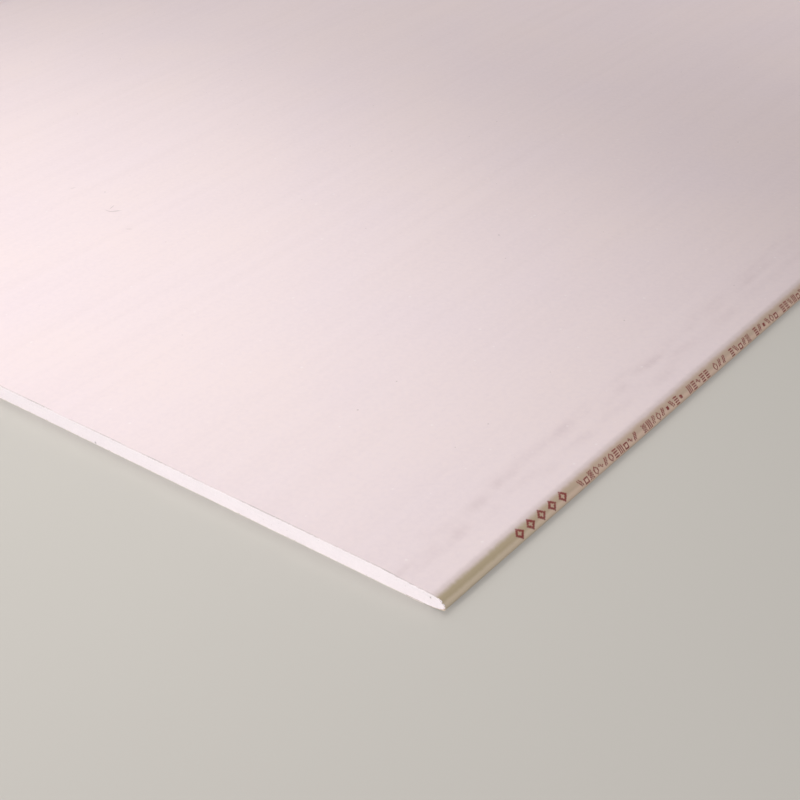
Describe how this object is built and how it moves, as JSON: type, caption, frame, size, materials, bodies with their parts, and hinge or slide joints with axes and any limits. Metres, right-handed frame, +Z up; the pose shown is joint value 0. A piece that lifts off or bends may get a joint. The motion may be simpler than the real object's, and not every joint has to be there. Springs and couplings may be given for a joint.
{
  "type": "drywall sheet",
  "caption": "Flat gypsum board with a pale paper face wrapped round two tapered, half-round long edges, a grey paper back and square sawn ends.",
  "frame": {"origin": "on the floor plane, under the middle of the sheet as it lies on its back", "axes": "+X across the width, +Y along the length, +Z up out of the face side"},
  "size_m": [1.25, 2, 0.0125],
  "materials": {
    "gypsum": "matt, chalky",
    "face_paper": "matt",
    "back_paper": "matt"
  },
  "bodies": {
    "root": {"gypsum_core": "gypsum", "face_paper": "face_paper", "back_paper": "back_paper"}
  },
  "joints": []
}
